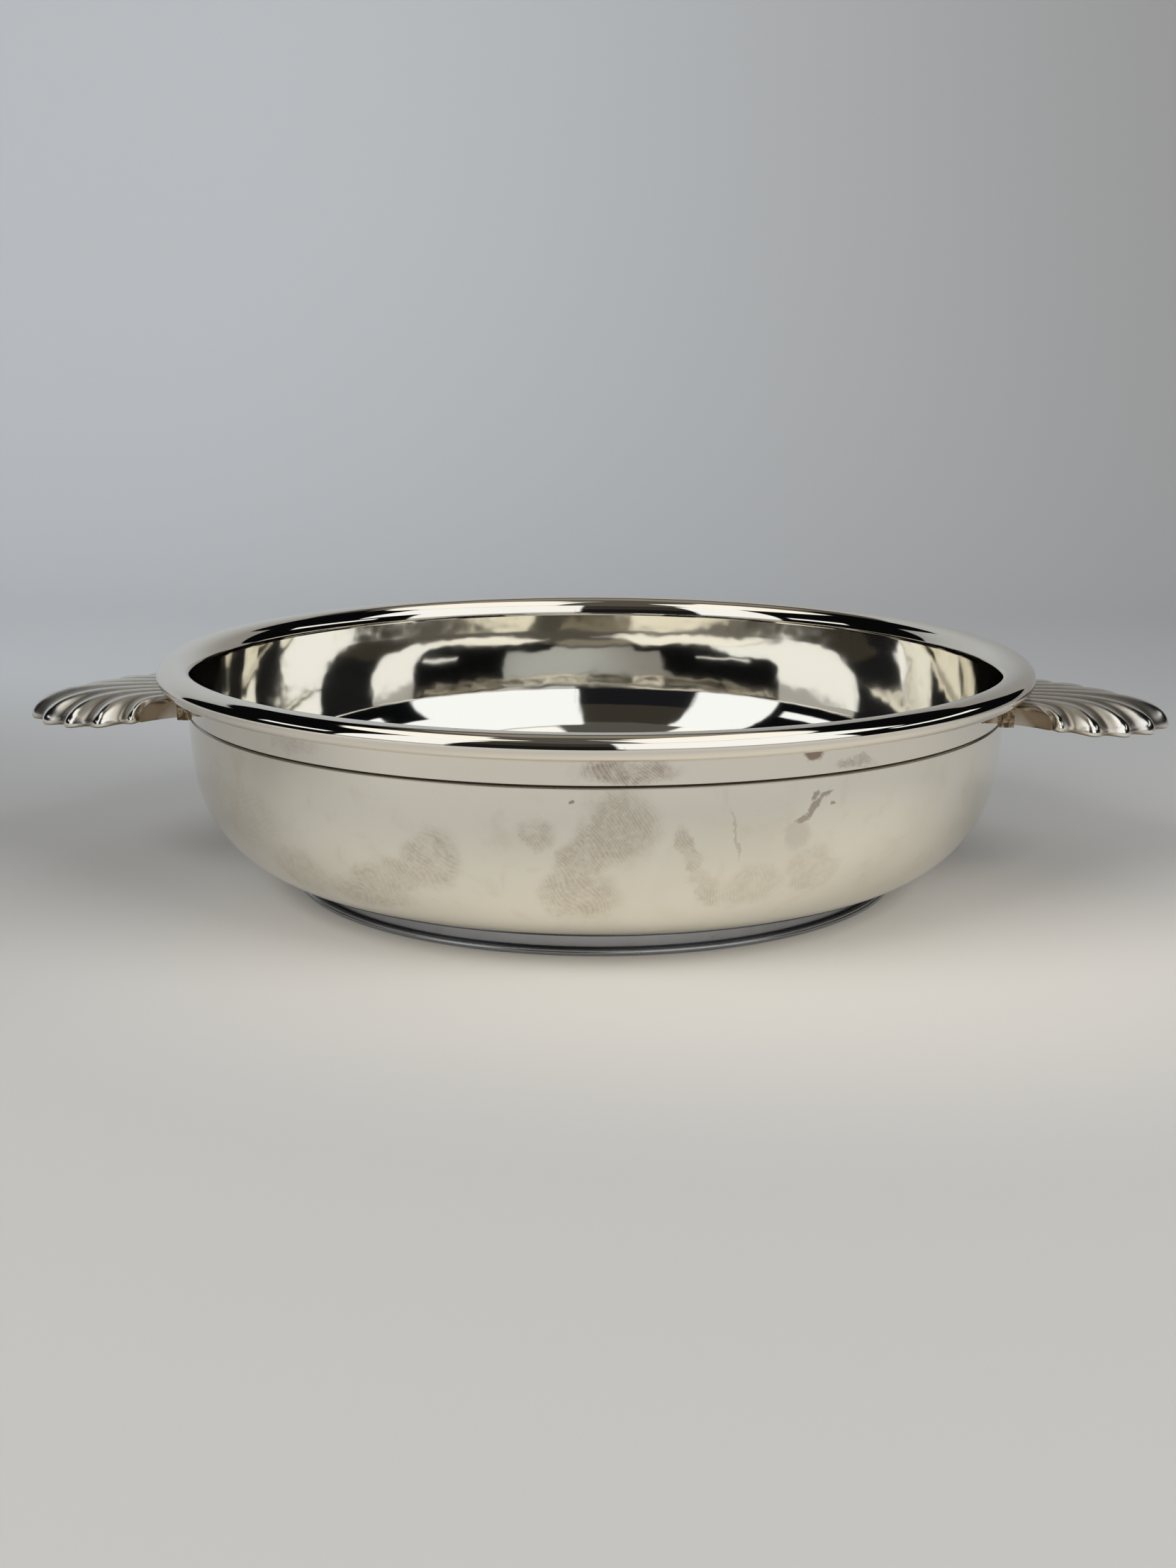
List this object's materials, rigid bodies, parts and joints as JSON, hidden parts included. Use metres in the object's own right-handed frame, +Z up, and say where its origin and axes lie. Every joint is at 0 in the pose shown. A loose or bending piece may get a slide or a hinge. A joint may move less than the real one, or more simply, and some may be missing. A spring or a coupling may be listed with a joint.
{
  "type": "two handled serving bowl",
  "caption": "Round silver plated serving bowl with an oval rolled rim, a low foot ring and a fluted scallop shell handle on each side.",
  "frame": {"origin": "on the table under the middle of the bowl, in the plane of the foot's lower face", "axes": "+Z up; +X towards the right handle, through both handles; +Y to the back"},
  "size_m": [0.2796, 0.21, 0.0542],
  "materials": {
    "body_plate": "polished silver plate",
    "rim_plate": "polished silver plate",
    "foot_plate": "polished silver plate",
    "handle_plate": "satin silver plate, tarnished in the flutes",
    "solder": "plated solder"
  },
  "bodies": {
    "root": {"bowl_body": "body_plate", "rim_collar": "rim_plate", "foot_ring": "foot_plate", "foot_solder": "solder", "right_shell_handle": "handle_plate", "left_shell_handle": "handle_plate", "right_handle_solder": "solder", "left_handle_solder": "solder"}
  },
  "joints": []
}
